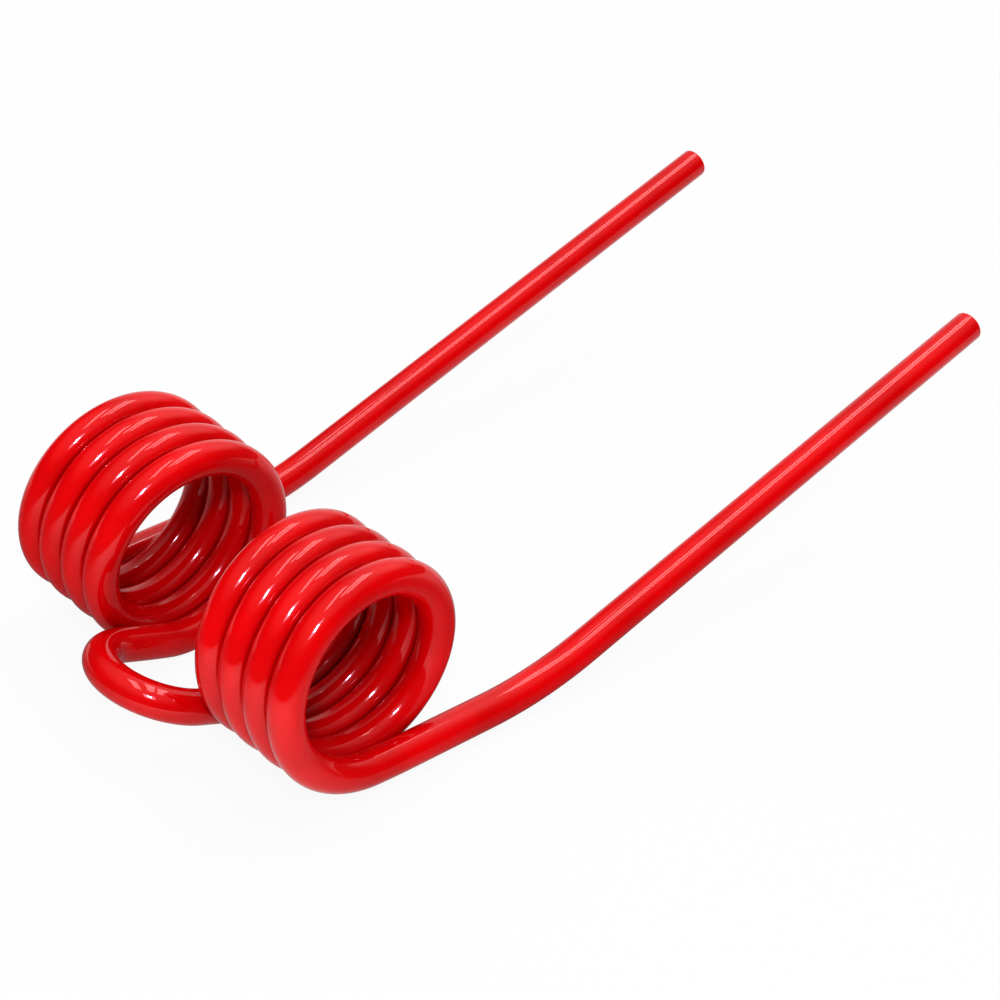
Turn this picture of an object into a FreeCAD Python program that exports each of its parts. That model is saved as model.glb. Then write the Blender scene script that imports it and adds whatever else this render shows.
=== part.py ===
import FreeCAD, Part
import math
import os

# A baler pick-up tine: one length of round spring wire, bent cold.
# Two straight tines point along +Y. Each comes out of a close-wound coil, and a U-shaped loop
# behind the coils joins them. The coils' axes rise and sweep back a little towards their outer ends.
# The origin is midway between the two coils, level with the centres of their inner turns, and +Z is up.
# The tine lies on a floor with the coils' inner turns and the knees in front of the coils.

# Driving dimensions, in millimetres and degrees
SIZES = {
    # Diameter of the round wire
    "wire_dia": 6.0,
    # Clear bore of the coils, which slip over the tine bar
    "coil_bore_dia": 28.0,
    # Full turns in each coil
    "coil_turns": 4.0,
    # Clearance between one turn and the next
    "turn_gap": 0.04,
    # Angle by which a coil's axis rises towards its outer end
    "coil_rise_angle": 2.3,
    # Angle by which a coil's axis sweeps back towards its outer end
    "coil_sweep_angle": 0.9,
    # Clear width inside the loop, where the clamp bolt passes
    "loop_inner_width": 15.0,
    # Straight part of each of the loop's legs
    "loop_leg_length": 1.5,
    # Angle by which the loop's legs spread towards the coils
    "loop_leg_splay_angle": 1.5,
    # Angle by which the loop rises behind the coils
    "loop_rise_angle": 22.6,
    # Large radius where the wire turns out of the coil's lead, at both of its ends
    "lead_radius": 150.0,
    # Angle by which the runs splay outwards
    "run_splay_angle": 1.4,
    # Angle by which the runs dip towards the floor
    "run_dip_angle": 2.1,
    # Straight part of the run between the coil and the knee
    "run_length": 18.0,
    # Radius of the knee, at the wire's centre line
    "knee_radius": 72.0,
    # Angle by which the tines rise after the knee
    "tine_rise_angle": 16.6,
    # Angle by which the tines splay outwards
    "tine_splay_angle": 1.0,
    # Straight part of the right tine, from the knee to its tip
    "right_tine_length": 106.1,
    # Straight part of the left tine, from the knee to its tip
    "left_tine_length": 113.1,
    # Rounding of the cut ends
    "tip_round": 0.5,
}

# Sizes that follow from the driving ones, as spreadsheet formulas
DERIVED = {
    "coil_radius": "(coil_bore_dia + wire_dia) / 2",
    "lead_angle": "asin((wire_dia + turn_gap) / (2 * pi * coil_radius))",
    "coil_pitch": "(wire_dia + turn_gap) / cos(lead_angle)",
    "coil_length": "coil_pitch * (coil_turns + (loop_rise_angle - run_dip_angle) / 360)",
    "loop_radius": "(loop_inner_width + wire_dia) / 2",
}

os.makedirs("parts", exist_ok=True)
doc = FreeCAD.newDocument("PickupTine")
sheet = doc.addObject("Spreadsheet::Sheet", "Sizes")
cells = {alias: str(value) for alias, value in SIZES.items()}
cells.update({alias: f"={formula}" for alias, formula in DERIVED.items()})
for row, (alias, content) in enumerate(cells.items(), start=1):
    sheet.set(f"A{row}", alias.replace("_", " "))
    sheet.set(f"B{row}", content)
    sheet.setAlias(f"B{row}", alias)
    doc.recompute()


def read(alias):
    """Value of one cell as a plain number."""
    cell = sheet.get(alias)
    return float(getattr(cell, "Value", cell))


def bind(item, prop, alias):
    """Tie one property of an object to one cell."""
    item.setExpression(prop, f"Sizes.{alias}")


def frame_at(point, x_axis, y_axis):
    """Placement whose local X and Y point along two given directions."""
    turn = FreeCAD.Rotation(x_axis, y_axis, x_axis.cross(y_axis), "XYZ")
    return FreeCAD.Placement(point, turn)


def direction(side, splay, rise):
    """Forward direction of one side's wire, splayed outwards and rising, by angles in degrees."""
    out = math.radians(splay)
    up = math.radians(rise)
    return FreeCAD.Vector(side * math.sin(out), math.cos(out) * math.cos(up), math.cos(out) * math.sin(up))


def straight(name, start, heading, length):
    """Straight stretch of the centre line, from start along heading; gives its end too."""
    item = doc.addObject("Part::Line", name)
    item.X1 = item.Y1 = item.Z1 = item.Y2 = item.Z2 = 0.0
    bind(item, "X2", length)
    across = heading.cross(FreeCAD.Vector(0, 0, 1)).normalize()
    item.Placement = frame_at(start, heading, across)
    return item, start + heading * read(length)


def bend_step(heading, towards, radius):
    """Vector from the start to the end of an arc that turns from one direction to another."""
    return (heading + towards) * (read(radius) * math.tan(heading.getAngle(towards) / 2))


def bend(name, start, heading, towards, radius):
    """Arc of the centre line that leaves start along heading and turns to another direction."""
    item = doc.addObject("Part::Circle", name)
    bind(item, "Radius", radius)
    item.Angle1 = 0.0
    item.Angle2 = math.degrees(heading.getAngle(towards))
    inward = (towards - heading * towards.dot(heading)).normalize()
    item.Placement = frame_at(start + inward * read(radius), -inward, heading)
    return item, start + bend_step(heading, towards, radius)


def half_path(label, side, tine_length):
    """Centre line of one half, listed from the middle of the loop to the tine's tip."""
    lead = math.radians(read("lead_angle"))
    rise = math.radians(read("loop_rise_angle"))
    dip = math.radians(read("run_dip_angle"))

    # The coil's own directions: along its axis to its outer end, forward, and up
    tilt = (FreeCAD.Rotation(FreeCAD.Vector(0, 0, 1), -side * read("coil_sweep_angle"))
            * FreeCAD.Rotation(FreeCAD.Vector(0, 1, 0), -side * read("coil_rise_angle")))
    axis = tilt.multVec(FreeCAD.Vector(side, 0, 0))
    ahead = tilt.multVec(FreeCAD.Vector(0, 1, 0))
    above = tilt.multVec(FreeCAD.Vector(0, 0, 1))

    # Way of the wire as it enters and leaves the coil, with the coil's lead
    coil_in = axis * math.sin(lead) + (ahead * math.cos(rise) - above * math.sin(rise)) * math.cos(lead)
    coil_out = axis * math.sin(lead) + (ahead * math.cos(dip) - above * math.sin(dip)) * math.cos(lead)
    # From the coil's axis to the wire's centre, where the coil starts and where it ends
    start_spoke = (ahead * -math.sin(rise) - above * math.cos(rise)) * read("coil_radius")
    end_spoke = (ahead * -math.sin(dip) - above * math.cos(dip)) * read("coil_radius")

    # Middle of the loop: the coil's axis starts level with the origin
    across = FreeCAD.Vector(side, 0, 0)
    leg_way = direction(side, read("loop_leg_splay_angle"), -read("loop_rise_angle"))
    to_coil = (bend_step(across, leg_way, "loop_radius") + leg_way * read("loop_leg_length")
               + bend_step(leg_way, coil_in, "lead_radius"))
    to_axis = to_coil - start_spoke
    point = FreeCAD.Vector(0, -to_axis.y, -to_axis.z)

    # Behind the coil: half of the loop, its leg and the turn into the coil's lead
    loop, point = bend(label + "Loop", point, across, leg_way, "loop_radius")
    leg, point = straight(label + "Leg", point, leg_way, "loop_leg_length")
    lead_in, point = bend(label + "LeadIn", point, leg_way, coil_in, "lead_radius")

    # Coil: a helix round its own axis, wound outwards from the bottom
    axis_start = point - start_spoke
    coil = doc.addObject("Part::Helix", label + "Coil")
    bind(coil, "Pitch", "coil_pitch")
    bind(coil, "Height", "coil_length")
    bind(coil, "Radius", "coil_radius")
    coil.LocalCoord = "Right-handed" if side > 0 else "Left-handed"
    outward = FreeCAD.Vector(start_spoke).normalize()
    coil.Placement = frame_at(axis_start, outward, axis.cross(outward))

    # In front of the coil: the run, the knee and the straight tine
    point = axis_start + axis * read("coil_length") + end_spoke
    run_way = direction(side, read("run_splay_angle"), -read("run_dip_angle"))
    tine_way = direction(side, read("tine_splay_angle"), read("tine_rise_angle"))
    lead_out, point = bend(label + "LeadOut", point, coil_out, run_way, "lead_radius")
    run, point = straight(label + "Run", point, run_way, "run_length")
    knee, point = bend(label + "Knee", point, run_way, tine_way, "knee_radius")
    tine, tip = straight(label + "Tine", point, tine_way, tine_length)
    return [loop, leg, lead_in, coil, lead_out, run, knee, tine], tip, tine_way


# Centre line of the whole wire, from the left tip to the right tip
left, left_tip, left_way = half_path("Left", -1, "left_tine_length")
right, _, _ = half_path("Right", 1, "right_tine_length")
path = doc.addObject("Part::Compound", "WirePath")
path.Links = left[::-1] + right
doc.recompute()

# Round section at the left tip, swept along the centre line
section = doc.addObject("Part::Circle", "WireSection")
section.setExpression("Radius", "Sizes.wire_dia / 2")
section.Placement = FreeCAD.Placement(left_tip, FreeCAD.Rotation(FreeCAD.Vector(0, 0, 1), left_way))
bar = doc.addObject("Part::Sweep", "BentWire")
bar.Sections = [section]
bar.Spine = (path, [f"Edge{i + 1}" for i in range(len(path.Shape.Edges))])
bar.Solid = True
bar.Frenet = False
doc.recompute()

# Cut ends with their edges rounded
ends = [face for face in bar.Shape.Faces if face.Surface.TypeId == "Part::GeomPlane"]
rims = [i + 1 for i, edge in enumerate(bar.Shape.Edges)
        if any(edge.isSame(rim) for end in ends for rim in end.Edges)]
wire = doc.addObject("Part::Fillet", "TineWire")
wire.Label = "tine_wire"
wire.Base = bar
wire.Edges = [(rim, read("tip_round"), read("tip_round")) for rim in rims]
wire.Placement = FreeCAD.Placement()
doc.recompute()

# Every object must be sound before anything is written
for item in doc.Objects:
    if "Invalid" in item.State or "Error" in item.State:
        raise RuntimeError(f"{item.Label} failed: {item.State}")
    if hasattr(item, "Shape") and (item.Shape.isNull() or not item.Shape.isValid()):
        raise RuntimeError(f"{item.Label} has no valid shape")
if len(wire.Shape.Solids) != 1:
    raise RuntimeError("the wire is not one solid")

wire_length = sum(edge.Length for edge in path.Shape.Edges)
print("wire length", round(wire_length, 1), "volume", round(wire.Shape.Volume, 1),
      "section times length", round(math.pi * read("wire_dia") ** 2 / 4 * wire_length, 1))
wire.Shape.exportStep(f"parts/{wire.Label}.step")
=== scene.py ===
import bpy
import numpy as np
from mathutils import Matrix


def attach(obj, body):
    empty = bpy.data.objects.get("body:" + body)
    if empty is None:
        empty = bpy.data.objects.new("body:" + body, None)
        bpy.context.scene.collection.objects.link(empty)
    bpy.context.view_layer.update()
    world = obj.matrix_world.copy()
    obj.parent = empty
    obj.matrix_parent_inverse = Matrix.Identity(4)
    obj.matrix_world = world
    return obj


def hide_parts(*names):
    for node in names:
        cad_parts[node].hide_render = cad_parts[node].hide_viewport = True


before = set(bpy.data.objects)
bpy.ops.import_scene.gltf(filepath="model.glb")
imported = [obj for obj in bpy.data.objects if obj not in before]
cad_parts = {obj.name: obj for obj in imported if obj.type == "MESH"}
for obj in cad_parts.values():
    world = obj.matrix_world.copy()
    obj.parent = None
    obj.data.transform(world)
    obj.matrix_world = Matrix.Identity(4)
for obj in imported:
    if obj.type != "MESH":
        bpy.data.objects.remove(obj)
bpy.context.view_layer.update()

# THE BENT WIRE
# One length of round spring steel, wound and bent cold on a coiling machine, then painted red.
# Two straight tines come out of close-wound coils of opposite hand, and a U loop behind joins the
# coils. All lengths are metres and all angles radians, on the wire's own centre line.
wire_thickness = 0.006
paint_film = 0.00004
coil_radius = 0.017
coil_turns = 4.0
turn_gap = 0.00004
coil_lead = np.arcsin((wire_thickness + turn_gap) / (2 * np.pi * coil_radius))
coil_pitch = (wire_thickness + turn_gap) / np.cos(coil_lead)
coil_rise = np.radians(2.3)
coil_sweep = np.radians(0.9)
loop_radius = 0.0105
loop_leg = 0.0015
loop_leg_splay = np.radians(1.5)
loop_rise = np.radians(22.6)
lead_radius = 0.150
run_splay = np.radians(1.4)
run_dip = np.radians(2.1)
run_length = 0.018
knee_radius = 0.072
tine_splay = np.radians(1.0)
tine_rise = np.radians(16.6)
right_tine = 0.1061
left_tine = 0.1131
tip_round = 0.0005

# Angles wound where the coil starts, at the loop, and where it ends, at the run
coil_start = -loop_rise
coil_end = 2 * np.pi * coil_turns - run_dip

# Rings of points along each stretch, points in a ring, and the rings on the flat cut as shares of
# its rim
loop_rings = 40
leg_rings = 3
lead_rings = 8
coil_rings = 620
run_rings = 9
knee_rings = 22
tine_rings = 40
rim_rings = 8
faces_around = 64
cut_rings = np.array([0.8, 0.55, 0.3, 0.12])


def forward(side, splay, rise):
    """Unit direction along +Y, turned outwards by the splay and upwards by the rise."""
    return np.array([side * np.sin(splay), np.cos(splay) * np.cos(rise),
                     np.cos(splay) * np.sin(rise)])


def straight_stretch(start, way, length, rings):
    """Start plus distance times way, for distances spread evenly from nothing to the length."""
    distance = np.linspace(0, length, rings)[:, None]
    return start + distance * way, np.repeat(way[None], rings, axis=0)


def bent_stretch(start, way, new_way, radius, rings):
    """Circular arc: start plus radius times (sin a along the way, 1 - cos a to the inside)."""
    inside = new_way - way * (new_way @ way)
    inside = inside / np.linalg.norm(inside)
    angle = np.linspace(0, np.arccos(new_way @ way), rings)[:, None]
    points = start + radius * (np.sin(angle) * way + (1 - np.cos(angle)) * inside)
    return points, np.cos(angle) * way + np.sin(angle) * inside


def coil_stretch(side, start, rings):
    """Helix: start plus pitch times a / 2 pi along the axis, plus the change of radius times
    (sin a ahead, minus cos a above). The axis is +X or -X, swept back and then raised towards its
    outer end."""
    along = np.array([side * np.cos(coil_sweep) * np.cos(coil_rise),
                      -np.sin(coil_sweep) * np.cos(coil_rise), np.sin(coil_rise)])
    ahead = np.array([side * np.sin(coil_sweep), np.cos(coil_sweep), 0.0])
    above = side * np.cross(along, ahead)
    angle = np.linspace(coil_start, coil_end, rings)
    turn = angle[:, None]
    spokes = np.sin(turn) * ahead - np.cos(turn) * above
    ways = (np.sin(coil_lead) * along
            + np.cos(coil_lead) * (np.cos(turn) * ahead + np.sin(turn) * above))
    axis_start = start - coil_radius * spokes[0]
    travel = coil_pitch * (turn - coil_start) / (2 * np.pi)
    return axis_start + travel * along + coil_radius * spokes, ways, spokes, angle, axis_start


def half_of_wire(side, tine_length):
    """Centre line from the middle of the loop to a tip: points, directions, the side of the
    section that faces away from the coil's axis, and the angle wound so far, which stays the same
    behind the coil and in front of it."""
    # Behind the coil: half of the loop, a short leg, and the turn into the coil's lead
    across = np.array([side, 0.0, 0.0])
    leg_way = forward(side, loop_leg_splay, -loop_rise)
    coil_way = coil_stretch(side, np.zeros(3), 2)[1][0]
    loop, loop_ways = bent_stretch(np.zeros(3), across, leg_way, loop_radius, loop_rings)
    leg, leg_ways = straight_stretch(loop[-1], leg_way, loop_leg, leg_rings)
    lead_in, lead_in_ways = bent_stretch(leg[-1], leg_way, coil_way, lead_radius, lead_rings)
    back = np.concatenate([loop[:-1], leg[:-1], lead_in[:-1]])
    back_ways = np.concatenate([loop_ways[:-1], leg_ways[:-1], lead_in_ways[:-1]])

    coil, coil_ways, coil_out, coil_angle, axis_start = coil_stretch(side, lead_in[-1], coil_rings)

    # In front of the coil: the turn out of its lead, the short run, the knee, and the tine up to
    # the rounding of its tip
    run_way = forward(side, run_splay, -run_dip)
    tine_way = forward(side, tine_splay, tine_rise)
    coil_end_way = coil_ways[-1]
    lead_out, lead_out_ways = bent_stretch(coil[-1], coil_end_way, run_way, lead_radius, lead_rings)
    run, run_ways = straight_stretch(lead_out[-1], run_way, run_length, run_rings)
    knee, knee_ways = bent_stretch(run[-1], run_way, tine_way, knee_radius, knee_rings)
    tine, tine_ways = straight_stretch(knee[-1], tine_way, tine_length - tip_round, tine_rings)
    front = np.concatenate([lead_out[1:], run[1:], knee[1:], tine[1:]])
    front_ways = np.concatenate([lead_out_ways[1:], run_ways[1:], knee_ways[1:], tine_ways[1:]])

    # The coil's axis starts level with the origin
    points = np.concatenate([back, coil, front]) - np.array([0.0, axis_start[1], axis_start[2]])
    ways = np.concatenate([back_ways, coil_ways, front_ways])
    loop_under = -np.array([0.0, np.sin(loop_rise), np.cos(loop_rise)])
    outward = np.concatenate([np.linspace(loop_under, coil_out[0], len(back)), coil_out,
                              np.repeat(coil_out[-1:], len(front), axis=0)])
    outward = outward - ways * np.sum(outward * ways, axis=1, keepdims=True)
    outward = outward / np.linalg.norm(outward, axis=1, keepdims=True)
    wound = np.concatenate([np.full(len(back), coil_start), coil_angle,
                            np.full(len(front), coil_end)])
    return points, ways, outward, wound


def cut_end(point, way, outward):
    """Rings that close a tip: a quarter round, whose rings lie the rounding times sin a further on
    and have the rim's radius plus the rounding times cos a, and then rings that shrink across the
    flat cut."""
    turn = np.linspace(0, np.pi / 2, rim_rings)[1:]
    rim = wire_thickness / 2 + paint_film - tip_round
    radii = np.concatenate([rim + tip_round * np.cos(turn), rim * cut_rings])
    reach = np.concatenate([tip_round * np.sin(turn), np.full(len(cut_rings), tip_round)])
    rings = len(radii)
    return (point + reach[:, None] * way, np.repeat(way[None], rings, axis=0),
            np.repeat(outward[None], rings, axis=0), radii)


def tube_faces(rows, around):
    """Four-sided faces between each ring of points and the next, closed round the section and
    facing outwards."""
    row = np.arange(rows - 1)[:, None]
    here = np.arange(around)[None]
    after = (here + 1) % around
    corners = [row * around + here, row * around + after,
               (row + 1) * around + after, (row + 1) * around + here]
    return np.stack(corners, axis=-1).reshape(-1, 4)


def new_piece(name, points, quads, fans):
    """Smoothly shaded mesh object at the origin, with four-sided and three-sided faces."""
    mesh = bpy.data.meshes.new(name)
    mesh.from_pydata(points, [], quads.tolist() + fans.tolist())
    mesh.shade_smooth()
    mesh.validate()
    piece = bpy.data.objects.new(name, mesh)
    bpy.context.scene.collection.objects.link(piece)
    return piece


# The two halves meet at the middle of the loop, and the left one runs backwards from its tip
left_points, left_ways, left_out, left_wound = half_of_wire(-1, left_tine)
right_points, right_ways, right_out, right_wound = half_of_wire(1, right_tine)
path = np.concatenate([left_points[::-1], right_points[1:]])
ways = np.concatenate([-left_ways[::-1], right_ways[1:]])
outward = np.concatenate([left_out[::-1], right_out[1:]])
wound = np.concatenate([left_wound[::-1], right_wound[1:]])
radii = np.full(len(path), wire_thickness / 2 + paint_film)

left_tip = cut_end(path[0], -ways[0], outward[0])
right_tip = cut_end(path[-1], ways[-1], outward[-1])
path = np.concatenate([left_tip[0][::-1], path, right_tip[0]])
ways = np.concatenate([-left_tip[1][::-1], ways, right_tip[1]])
outward = np.concatenate([left_tip[2][::-1], outward, right_tip[2]])
radii = np.concatenate([left_tip[3][::-1], radii, right_tip[3]])
wound = np.concatenate([np.full(len(left_tip[3]), wound[0]), wound,
                        np.full(len(right_tip[3]), wound[-1])])

# Round section carried along the path: centre plus radius times (cos b outward, sin b sideways),
# closed by a fan of faces round one pole at each tip
sideways = np.cross(ways, outward)
round_angle = np.linspace(0, 2 * np.pi, faces_around, endpoint=False)[None, :, None]
spokes = np.cos(round_angle) * outward[:, None] + np.sin(round_angle) * sideways[:, None]
rings = path[:, None] + radii[:, None, None] * spokes
rows = len(path)
poles = np.array([left_tip[0][-1], right_tip[0][-1]])
skin = np.concatenate([rings.reshape(-1, 3), poles])
left_pole = np.full(faces_around, rows * faces_around)
right_pole = left_pole + 1
ring_step = np.arange(faces_around)
ring_next = (ring_step + 1) % faces_around
last_row = (rows - 1) * faces_around
left_fan = np.stack([left_pole, ring_next, ring_step], axis=1)
right_fan = np.stack([right_pole, last_row + ring_step, last_row + ring_next], axis=1)
fans = np.concatenate([left_fan, right_fan])
wire = new_piece("bent_wire", skin, tube_faces(rows, faces_around), fans)

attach(wire, "root")
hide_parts("tine_wire")

# Flanks of the turns that lie against a neighbour get painted shade for the dark grooves between
# the turns, where the wet paint also ran together. The sine of the angle round the section points
# to the loop's side, the darkening starts where it passes the edge value below, and the wound angle
# tells whether a turn lies there, fading in over the fade value below.
pooled_and_shaded_edge = 0.86
pooled_and_shaded_fade = 0.4
flank = np.sin(round_angle[..., 0])
turns_behind = np.clip((wound - coil_start - 2 * np.pi) / pooled_and_shaded_fade, 0, 1)[:, None]
turns_ahead = np.clip((coil_end - 2 * np.pi - wound) / pooled_and_shaded_fade, 0, 1)[:, None]
on_coil = ((wound > coil_start) & (wound < coil_end))[:, None]
pooled_and_shaded_behind = np.clip((flank - pooled_and_shaded_edge) / (1 - pooled_and_shaded_edge), 0, 1) * turns_behind
pooled_and_shaded_ahead = np.clip((-flank - pooled_and_shaded_edge) / (1 - pooled_and_shaded_edge), 0, 1) * turns_ahead
pooled_and_shaded = on_coil * (pooled_and_shaded_behind + pooled_and_shaded_ahead)
pooled_paint_and_shade = wire.data.attributes.new("pooled_paint_and_shade", "FLOAT", "POINT")
pooled_paint_and_shade.data.foreach_set("value", np.append(pooled_and_shaded.reshape(-1), [0.0, 0.0]).astype(np.float32))

# Red enamel: a deep red coat that flowed out glossy, with a fine orange peel, slow waves, a few
# specks of dust caught under it, and a darker colour between the turns that is painted shade in the
# grooves, where paint also pooled
enamel = bpy.data.materials.new("red_enamel")
enamel.use_nodes = True
nodes = enamel.node_tree.nodes
links = enamel.node_tree.links
shader = nodes["Principled BSDF"]
shader.inputs["Specular IOR Level"].default_value = 0.03
shader.inputs["Coat Weight"].default_value = 1.0
shader.inputs["Coat Roughness"].default_value = 0.03
shader.inputs["Coat IOR"].default_value = 1.5
paint_place = nodes.new("ShaderNodeTexCoord")
thick_red = (0.44, 0.0, 0.0014, 1)
thin_red = (0.52, 0.0002, 0.0022, 1)
# Dark red for the flanks between the turns: painted shade in the grooves, with some pooled paint
pooled_and_shaded_red = (0.16, 0.0, 0.0003, 1)


def noise(waves_per_metre, detail, roughness):
    """Soft noise on the object's own metres, the detail being its number of finer layers."""
    texture = nodes.new("ShaderNodeTexNoise")
    texture.inputs["Scale"].default_value = waves_per_metre
    texture.inputs["Detail"].default_value = detail
    texture.inputs["Roughness"].default_value = roughness
    links.new(paint_place.outputs["Object"], texture.inputs["Vector"])
    return texture.outputs["Fac"]


def spread(source, low, high, start, end):
    """Straight line from start to end while the source goes from low to high, held at both."""
    line = nodes.new("ShaderNodeMapRange")
    line.inputs["From Min"].default_value = low
    line.inputs["From Max"].default_value = high
    line.inputs["To Min"].default_value = start
    line.inputs["To Max"].default_value = end
    links.new(source, line.inputs["Value"])
    return line.outputs["Result"]


def blend(share, first, second):
    """First colour where the share is nought, and second where it is one."""
    mix = nodes.new("ShaderNodeMix")
    mix.data_type = "RGBA"
    links.new(share, mix.inputs["Factor"])
    for socket, colour in ((mix.inputs["A"], first), (mix.inputs["B"], second)):
        if isinstance(colour, tuple):
            socket.default_value = colour
        else:
            links.new(colour, socket)
    return mix.outputs["Result"]


def raise_paint(height, micrometres, under=None):
    """Bump that lifts the paint by a height times some micrometres, on top of another bump."""
    bump = nodes.new("ShaderNodeBump")
    bump.inputs["Strength"].default_value = 1.0
    bump.inputs["Distance"].default_value = micrometres * 1e-6
    links.new(height, bump.inputs["Height"])
    if under is not None:
        links.new(under, bump.inputs["Normal"])
    return bump.outputs["Normal"]


# Colour: thick and thin paint in patches some 14 mm across, then the darker flanks between the
# turns, painted shade where paint also pooled
patches = spread(noise(70.0, detail=3.0, roughness=0.5), low=0.35, high=0.65, start=0.0, end=1.0)
# Reads the painted shade between the turns, which also stands for pooled paint
pooled_and_shaded_value = nodes.new("ShaderNodeAttribute")
pooled_and_shaded_value.attribute_name = "pooled_paint_and_shade"
thick_and_thin = blend(patches, thick_red, thin_red)
paint_colour = blend(pooled_and_shaded_value.outputs["Fac"], thick_and_thin, pooled_and_shaded_red)
links.new(paint_colour, shader.inputs["Base Color"])

# Under the gloss the pigment is a little rougher in some places than in others
grit = noise(220.0, detail=2.0, roughness=0.5)
links.new(spread(grit, low=0.3, high=0.7, start=0.20, end=0.34), shader.inputs["Roughness"])

# Surface: waves 6 mm long, orange peel 2 mm long, and specks of dust 0.4 mm across, which lie in
# some of the cells of a pattern 5 mm wide
waves = raise_paint(noise(165.0, detail=1.0, roughness=0.4), micrometres=26.0)
peel = raise_paint(noise(520.0, detail=0.0, roughness=0.5), micrometres=4.0, under=waves)
dust = nodes.new("ShaderNodeTexVoronoi")
dust.inputs["Scale"].default_value = 190.0
links.new(paint_place.outputs["Object"], dust.inputs["Vector"])
speck = spread(dust.outputs["Distance"], low=0.0, high=0.045, start=1.0, end=0.0)
some_cells = spread(dust.outputs["Color"], low=0.55, high=0.60, start=0.0, end=1.0)
kept = nodes.new("ShaderNodeMath")
kept.operation = "MULTIPLY"
links.new(speck, kept.inputs[0])
links.new(some_cells, kept.inputs[1])
surface = raise_paint(kept.outputs["Value"], micrometres=45.0, under=peel)
links.new(surface, shader.inputs["Normal"])
links.new(surface, shader.inputs["Coat Normal"])
wire.data.materials.append(enamel)

# THE FLOOR
# A plain white table that the tine lies on. It throws white light back up on the tine. Seen only in
# the paint's gloss, the table glows with a painted spot of light near the camera and a painted
# bright far side, and the rest of the table is dim.
floor_level = float(skin[:, 2].min())
table_half = 3
painted_lamp_pool_middle = (0.075, -0.09, floor_level)
far_side = (-0.66, 0.75, 0.0)
floor_mesh = bpy.data.meshes.new("white_table")
table_corners = [(table_half * x, table_half * y, floor_level)
                 for x, y in ((-1, -1), (1, -1), (1, 1), (-1, 1))]
floor_mesh.from_pydata(table_corners, [], [(0, 1, 2, 3)])
floor = bpy.data.objects.new("white_table", floor_mesh)
bpy.context.scene.collection.objects.link(floor)
table_white = bpy.data.materials.new("table_white")
table_white.use_nodes = True
table = table_white.node_tree
table_shader = table.nodes["Principled BSDF"]
table_shader.inputs["Roughness"].default_value = 0.6
table_shader.inputs["Specular IOR Level"].default_value = 0.0
table_shader.inputs["Emission Color"].default_value = (1, 1, 1, 1)
table_place = table.nodes.new("ShaderNodeTexCoord")
table_ray = table.nodes.new("ShaderNodeLightPath")


def table_measure(operation, place):
    """How far a point of the table is from a place (DISTANCE) or along a way (DOT_PRODUCT)."""
    measure = table.nodes.new("ShaderNodeVectorMath")
    measure.operation = operation
    measure.inputs[1].default_value = place
    table.links.new(table_place.outputs["Object"], measure.inputs[0])
    return measure.outputs["Value"]


def soft_ramp(tree, source, low, high, start, end):
    """Value that goes softly from start to end while the source goes from low to high. The start
    and the end are numbers or the values of other nodes."""
    ramp = tree.nodes.new("ShaderNodeMapRange")
    ramp.interpolation_type = "SMOOTHSTEP"
    ramp.inputs["From Min"].default_value = low
    ramp.inputs["From Max"].default_value = high
    for socket, value in ((ramp.inputs["To Min"], start), (ramp.inputs["To Max"], end)):
        if isinstance(value, float):
            socket.default_value = value
        else:
            tree.links.new(value, socket)
    tree.links.new(source, ramp.inputs["Value"])
    return ramp.outputs["Result"]


def by_ray(tree, kind, others, own):
    """Its own value for rays of a kind, and the other value for all other rays."""
    return soft_ramp(tree, kind, 0.0, 1.0, others, own)


# Painted light: a glow seen only in the gloss, brightest round a spot near the camera and towards
# the far side
from_pool = table_measure("DISTANCE", painted_lamp_pool_middle)
towards_far_side = table_measure("DOT_PRODUCT", far_side)
far_table = soft_ramp(table, towards_far_side, -0.02, 0.10, 0.03, 0.75)
painted_lamp_pool = soft_ramp(table, from_pool, 0.03, 0.145, 1.35, far_table)
mirrored = by_ray(table, table_ray.outputs["Is Glossy Ray"], 0.0, painted_lamp_pool)
table_glow = by_ray(table, table_ray.outputs["Is Camera Ray"], mirrored, 0.94)
table_colour = by_ray(table, table_ray.outputs["Is Diffuse Ray"], 0.03, 0.85)
table.links.new(table_glow, table_shader.inputs["Emission Strength"])
table.links.new(table_colour, table_shader.inputs["Base Color"])
floor_mesh.materials.append(table_white)

# THE LIGHTS
# Three long bars of a ceiling light, and a small strong lamp above the camera in a wider, dimmer
# shade, both slightly violet. Round them stands a dim room with a pale ceiling, one bright far
# corner and one tall pale wall.
bar_way = np.array([0.66, -0.75, 0.0])
bar_radiance = 4.8
lamp_way = np.array([1.0, 1.0, 0.0])


def panel_light(name, place, along, width, height, radiance, tint=(1.0, 1.0, 1.0)):
    """Flat rectangular lamp that faces the tine, its width along a given direction. Its power is
    the radiance times pi times its area, and the tint colours it."""
    data = bpy.data.lights.new(name, "AREA")
    data.shape = "RECTANGLE"
    data.size = width
    data.size_y = height
    data.energy = radiance * np.pi * width * height
    data.color = tint
    back = np.array(place) / np.linalg.norm(place)
    across = along - back * np.dot(along, back)
    across = across / np.linalg.norm(across)
    turned = np.stack([across, np.cross(back, across), back], axis=1)
    lamp = bpy.data.objects.new(name, data)
    lamp.matrix_world = Matrix.Translation(place) @ Matrix(turned.tolist()).to_4x4()
    lamp.visible_camera = False
    bpy.context.scene.collection.objects.link(lamp)


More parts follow.
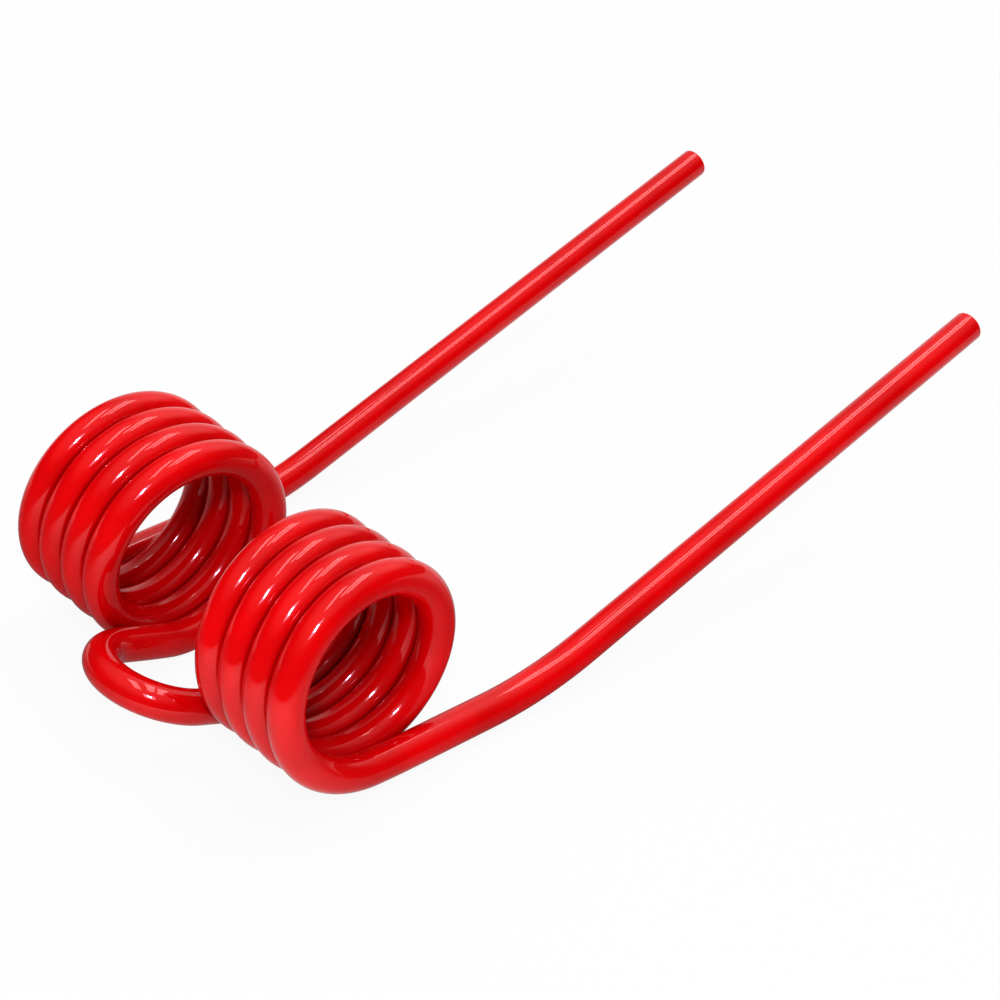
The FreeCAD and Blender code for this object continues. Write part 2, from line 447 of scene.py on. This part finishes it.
panel_light("ceiling_bar_left", (-0.122, -0.052, 1.2), bar_way, 0.76, 0.18, bar_radiance)
panel_light("ceiling_bar_middle", (-0.043, 0.361, 1.2), bar_way, 0.89, 0.15, bar_radiance)
panel_light("ceiling_bar_right", (0.115, 0.500, 1.2), bar_way, 0.89, 0.15, bar_radiance)
panel_light("front_lamp", (0.322, -0.287, 0.492), lamp_way, 0.06, 0.08,
            radiance=140.0, tint=(0.86, 0.72, 1.0))
panel_light("front_lamp_shade", (0.324, -0.289, 0.495), lamp_way, 0.17, 0.18,
            radiance=8.0, tint=(0.90, 0.78, 1.0))

world = bpy.data.worlds.new("studio")
bpy.context.scene.world = world
world.use_nodes = True
room = world.node_tree
room_place = room.nodes.new("ShaderNodeTexCoord")
room_ray = room.nodes.new("ShaderNodeLightPath")


def facing(towards, stretch=(1, 1, 1)):
    """Cosine between a direction of the room, stretched along its axes, and the given one."""
    stretched = room.nodes.new("ShaderNodeVectorMath")
    stretched.operation = "MULTIPLY"
    stretched.inputs[1].default_value = stretch
    level = room.nodes.new("ShaderNodeVectorMath")
    level.operation = "NORMALIZE"
    cosine = room.nodes.new("ShaderNodeVectorMath")
    cosine.operation = "DOT_PRODUCT"
    cosine.inputs[1].default_value = towards
    room.links.new(room_place.outputs["Generated"], stretched.inputs[0])
    room.links.new(stretched.outputs["Vector"], level.inputs[0])
    room.links.new(level.outputs["Vector"], cosine.inputs[0])
    return cosine.outputs["Value"]


# What the gloss mirrors: a dim room with a paler ceiling, a bright far corner and a tall pale wall
overhead = facing((0.0, 0.0, 1.0))
at_far_corner = facing((-0.17, 0.69, 0.70))
at_pale_wall = facing((-0.64, 0.77, 0.0), stretch=(1, 1, 0.45))
ceiling = soft_ramp(room, overhead, 0.40, 1.0, 0.05, 0.85)
far_corner = soft_ramp(room, at_far_corner, 0.82, 1.0, ceiling, 1.30)
pale_wall = soft_ramp(room, at_pale_wall, 0.84, 0.98, far_corner, 0.85)

# What lights the paint: soft light from above, from the pale wall's side and from behind, but
# little from the right and the left, so that the coils stay dark inside
from_behind = facing((0.35, -0.85, 0.39))
from_wall_side = facing((-0.47, 0.79, 0.39))
soft_above = soft_ramp(room, overhead, 0.3, 1.0, 0.0, 0.95)
soft_behind = soft_ramp(room, from_behind, 0.3, 1.0, soft_above, 1.35)
soft_light = soft_ramp(room, from_wall_side, 0.3, 1.0, soft_behind, 2.20)

# The camera itself sees plain white
inside_room = by_ray(room, room_ray.outputs["Is Glossy Ray"], soft_light, pale_wall)
brightness = by_ray(room, room_ray.outputs["Is Camera Ray"], inside_room, 1.0)
room.links.new(brightness, room.nodes["Background"].inputs["Strength"])
room.nodes["Background"].inputs["Color"].default_value = (1, 1, 1, 1)

# THE CAMERA
# It looks down at the tine from the right and a little behind, slightly turned about its own
# axis. The picture's low gamma gives the photograph's strong contrast.
camera_data = bpy.data.cameras.new("photo_camera")
camera_data.sensor_width = 36.0
camera_data.sensor_fit = "HORIZONTAL"
camera_data.lens = 80.382
camera_data.clip_start = 0.01
camera = bpy.data.objects.new("photo_camera", camera_data)
camera_place = (0.234816, -0.191169, 0.224337)
view_right = np.array([0.695285, 0.714653, 0.076484])
view_up = np.array([-0.446847, 0.346465, 0.824797])
view_turn = np.stack([view_right, view_up, np.cross(view_right, view_up)], axis=1)
camera.matrix_world = Matrix.Translation(camera_place) @ Matrix(view_turn.tolist()).to_4x4()
bpy.context.scene.collection.objects.link(camera)
bpy.context.scene.camera = camera
bpy.context.scene.view_settings.view_transform = "Standard"
bpy.context.scene.view_settings.look = "None"
bpy.context.scene.view_settings.gamma = 0.80
